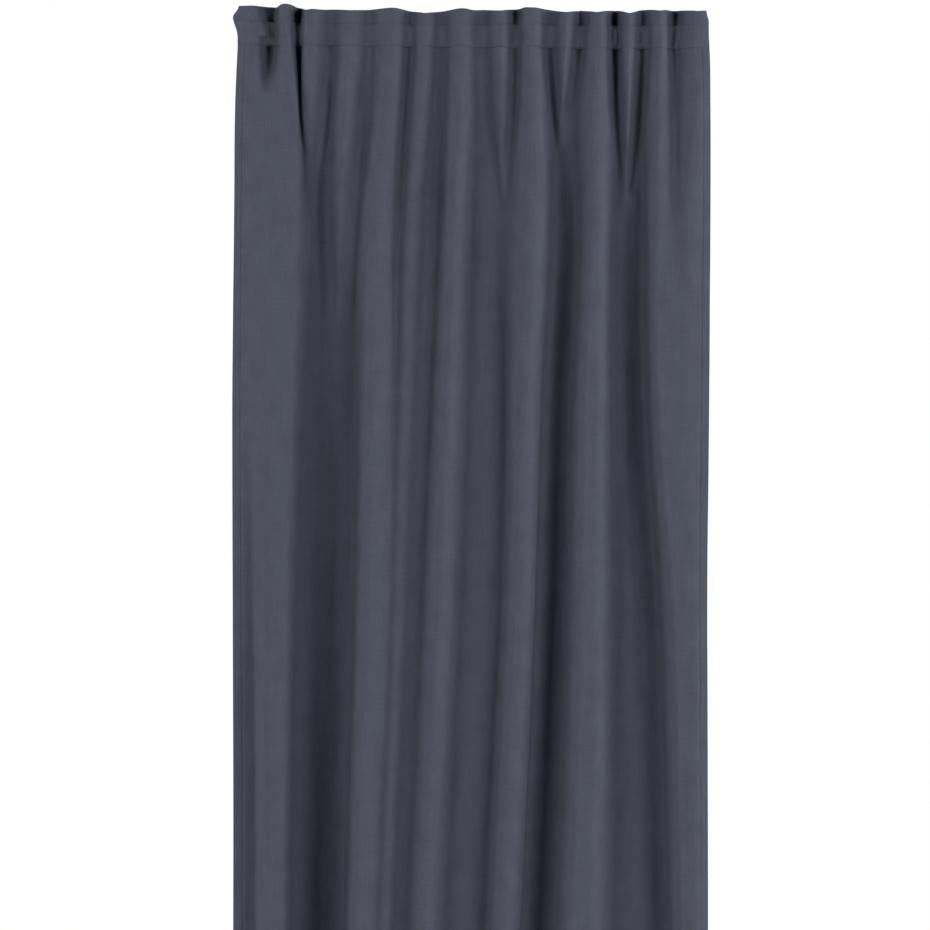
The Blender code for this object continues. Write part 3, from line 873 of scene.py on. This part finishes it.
def cloth_material(name, dark, light):
    """Plain weave of slubby yarn, with its tone between these two colours."""
    made = bpy.data.materials.new(name)
    made.use_nodes = True
    tree = made.node_tree
    shader = tree.nodes["Principled BSDF"]
    source = tree.nodes.new("ShaderNodeUVMap")
    source.uv_map = "flat"
    flat = source.outputs["UV"]
    split = tree.nodes.new("ShaderNodeSeparateXYZ")
    tree.links.new(flat, split.inputs[0])
    # Yarns: each warp and weft yarn wanders a little and goes over and under the others.
    wander = stretched_noise(tree, flat, WANDER_SCALE, WANDER_SCALE)
    turns = 2 * math.pi / (2 * YARN)
    warp = shader_math(tree, "ADD", split.outputs["X"], shader_math(tree, "MULTIPLY", wander, WANDER))
    weft = shader_math(tree, "ADD", split.outputs["Y"], shader_math(tree, "MULTIPLY", wander, -WANDER))
    warp = shader_math(tree, "SINE", shader_math(tree, "MULTIPLY", warp, turns))
    weft = shader_math(tree, "SINE", shader_math(tree, "MULTIPLY", weft, turns))
    over = shader_math(tree, "MULTIPLY", warp, weft)
    slub_down = stretched_noise(tree, flat, 1 / YARN, SLUB_RUN)
    slub_across = stretched_noise(tree, flat, SLUB_RUN, 1 / YARN)
    streak_down = stretched_noise(tree, flat, *STREAKS_DOWN, detail=3.0)
    streak_across = stretched_noise(tree, flat, *STREAKS_ACROSS, detail=3.0)
    cloudy = stretched_noise(tree, flat, *CLOUDS)
    tone = shader_math(tree, "ADD", slub_down, slub_across)
    for pattern, share in ((over, OVER_SHARE), (streak_down, DOWN_SHARE),
                           (streak_across, ACROSS_SHARE), (cloudy, CLOUD_SHARE)):
        tone = shader_math(tree, "ADD", tone, shader_math(tree, "MULTIPLY", pattern, share))
    tone = shader_math(tree, "MULTIPLY", tone, 1 / TONE_SUM)
    ramp = tree.nodes.new("ShaderNodeValToRGB")
    ramp.color_ramp.elements[0].position = TONE_FROM
    ramp.color_ramp.elements[1].position = TONE_TO
    ramp.color_ramp.elements[0].color = (*dark, 1.0)
    ramp.color_ramp.elements[1].color = (*light, 1.0)
    tree.links.new(tone, ramp.inputs["Fac"])
    tree.links.new(ramp.outputs["Color"], shader.inputs["Base Color"])
    rough = shader_math(tree, "ADD", shader_math(tree, "MULTIPLY", slub_down, SLUB_ROUGHER), ROUGH)
    tree.links.new(rough, shader.inputs["Roughness"])
    shader.inputs["Specular IOR Level"].default_value = SHINE
    shader.inputs["Sheen Weight"].default_value = SHEEN
    shader.inputs["Sheen Roughness"].default_value = SHEEN_ROUGH
    bump = tree.nodes.new("ShaderNodeBump")
    bump.inputs["Strength"].default_value = BUMP
    bump.inputs["Distance"].default_value = BUMP_HIGH
    height = shader_math(tree, "ADD", shader_math(tree, "MULTIPLY", over, WEAVE_IN_BUMP), slub_down)
    height = shader_math(tree, "ADD", height, slub_across)
    tree.links.new(height, bump.inputs["Height"])
    tree.links.new(bump.outputs["Normal"], shader.inputs["Normal"])
    return made


def thread_material():
    """Twisted thread, a little darker than the cloth."""
    made = bpy.data.materials.new("sewing thread")
    made.use_nodes = True
    tree = made.node_tree
    shader = tree.nodes["Principled BSDF"]
    place = tree.nodes.new("ShaderNodeTexCoord")
    twist = tree.nodes.new("ShaderNodeTexNoise")
    twist.inputs["Scale"].default_value = TWISTS
    ramp = tree.nodes.new("ShaderNodeValToRGB")
    ramp.color_ramp.elements[0].color = (*DARK_THREAD, 1.0)
    ramp.color_ramp.elements[1].color = (*LIGHT_THREAD, 1.0)
    tree.links.new(place.outputs["Object"], twist.inputs["Vector"])
    tree.links.new(twist.outputs["Fac"], ramp.inputs["Fac"])
    tree.links.new(ramp.outputs["Color"], shader.inputs["Base Color"])
    shader.inputs["Roughness"].default_value = THREAD_ROUGH
    return made


anthracite = cloth_material("anthracite cloth", DARK_YARN, LIGHT_YARN)
fall.data.materials.append(anthracite)
heading.data.materials.append(anthracite)

# %% [markdown]
# The rows of stitches lie where the real ones do: both rows of the heading, seen from the front and
# from the back, the line of each side hem and that of the bottom hem.

# %% Sew the seams
PROUD = 0.15
SIDE_ROW_IN = 2.5
HEM_ROW_DOWN = 3.0
thread = thread_material()
tree = stitch_tree(stitch_bar())
heading_stitches = sewn(
    "heading_stitches",
    [
        seam_across(UPPER_SEAM, PINCH + PROUD),
        seam_across(LOWER_SEAM, PINCH + PROUD),
        seam_across(UPPER_SEAM, -PINCH - PROUD, True),
        seam_across(LOWER_SEAM, -PINCH - BACK_FURTHER - PROUD, True),
    ],
    tree, thread, seed=1,
)
hem_stitches = sewn(
    "hem_stitches",
    [
        seam_down(SIDE_HEM - SIDE_ROW_IN, PROUD),
        seam_down(CLOTH_WIDTH - SIDE_HEM + SIDE_ROW_IN, PROUD),
        seam_across(LENGTH - BOTTOM_HEM + HEM_ROW_DOWN, PROUD),
        seam_across(LENGTH - BOTTOM_HEM + HEM_ROW_DOWN, -LAYER - PROUD, True),
    ],
    tree, thread, seed=2,
)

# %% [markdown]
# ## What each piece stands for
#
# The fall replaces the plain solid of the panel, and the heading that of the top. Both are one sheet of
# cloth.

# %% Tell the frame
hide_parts("panel")
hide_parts("heading")
for piece in (fall, heading, heading_stitches, hem_stitches):
    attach(piece, "root")

# %% [markdown]
# ## Room, light and camera
#
# The curtain hangs against plain white. Two soft boxes stand on each side, the right ones a little
# stronger. They graze the folds, so the crests are light, the flanks darker and the deep troughs
# nearly black. Two more light the back. The camera stands level with the middle of the part that it
# sees.

# %% Floor and backdrop


def plain_material(name, colour, glow=0.0):
    """One even, matt colour that may glow white."""
    made = bpy.data.materials.new(name)
    made.use_nodes = True
    shader = made.node_tree.nodes["Principled BSDF"]
    shader.inputs["Base Color"].default_value = (*colour, 1.0)
    shader.inputs["Roughness"].default_value = 0.9
    shader.inputs["Emission Color"].default_value = (1.0, 1.0, 1.0, 1.0)
    shader.inputs["Emission Strength"].default_value = glow
    return made


def staged(name, body, material):
    """An object of the room, left out of the part."""
    mesh = bpy.data.meshes.new(name)
    body.to_mesh(mesh)
    body.free()
    mesh.materials.append(material)
    made = bpy.data.objects.new(name, mesh)
    bpy.context.scene.collection.objects.link(made)
    return made


FLOOR = -2.53
FLOOR_RADIUS = 2.2
ROOM_RADIUS = 14.0
disc = bmesh.new()
bmesh.ops.create_circle(disc, cap_ends=True, segments=96, radius=FLOOR_RADIUS)
bmesh.ops.translate(disc, verts=disc.verts, vec=(0, 0, FLOOR))
staged("floor", disc, plain_material("pale floor", (0.75, 0.75, 0.75)))
# The white ground is only looked at. It lights nothing and shades nothing.
ball = bmesh.new()
bmesh.ops.create_icosphere(ball, subdivisions=3, radius=ROOM_RADIUS)
ground = staged("white ground", ball, plain_material("white", (0.0, 0.0, 0.0), glow=1.0))
ground.visible_diffuse = False
ground.visible_glossy = False
ground.visible_transmission = False
ground.visible_shadow = False

# %% Light
LIGHT_AWAY = 5.1
LIGHT_UP = 8.0
LIGHT_AIM = -0.7
BOX_WIDE, BOX_HIGH = 1.6, 2.2
ROOM_LIGHT = 0.02
SOFT_BOXES = (
    # name, degrees to the right of the front, watts
    ("right front soft box", 45, 125),
    ("right side soft box", 75, 130),
    ("left front soft box", -45, 110),
    ("left side soft box", -75, 92),
    ("right back soft box", 152, 95),
    ("left back soft box", -152, 80),
)


def soft_box(name, turn, watts):
    """A soft box at the same distance as the others, aimed at the upper half of the curtain."""
    data = bpy.data.lights.new(name, "AREA")
    data.shape = "RECTANGLE"
    data.size = BOX_WIDE
    data.size_y = BOX_HIGH
    data.energy = watts
    made = bpy.data.objects.new(name, data)
    aim = Vector((0, 0, LIGHT_AIM))
    turn, up = math.radians(turn), math.radians(LIGHT_UP)
    way = Vector((math.sin(turn) * math.cos(up), -math.cos(turn) * math.cos(up), math.sin(up)))
    made.location = aim + LIGHT_AWAY * way
    made.rotation_euler = (-way).to_track_quat("-Z", "Y").to_euler()
    made.visible_camera = False
    bpy.context.scene.collection.objects.link(made)


for name, turn, watts in SOFT_BOXES:
    soft_box(name, turn, watts)
world = bpy.data.worlds.new("room")
world.use_nodes = True
world.node_tree.nodes["Background"].inputs["Color"].default_value = (1, 1, 1, 1)
world.node_tree.nodes["Background"].inputs["Strength"].default_value = ROOM_LIGHT
bpy.context.scene.world = world
print(len(SOFT_BOXES), "soft boxes")

# %% Camera
FOCAL_LENGTH = 100
CAMERA_PLACE = (-0.0126, -5.465, -0.9576)
lens = bpy.data.cameras.new("camera")
lens.lens = FOCAL_LENGTH
camera = bpy.data.objects.new("camera", lens)
camera.location = CAMERA_PLACE
camera.rotation_euler = (math.radians(90), 0, 0)
bpy.context.scene.collection.objects.link(camera)
bpy.context.scene.camera = camera
bpy.context.scene.view_settings.view_transform = "Standard"
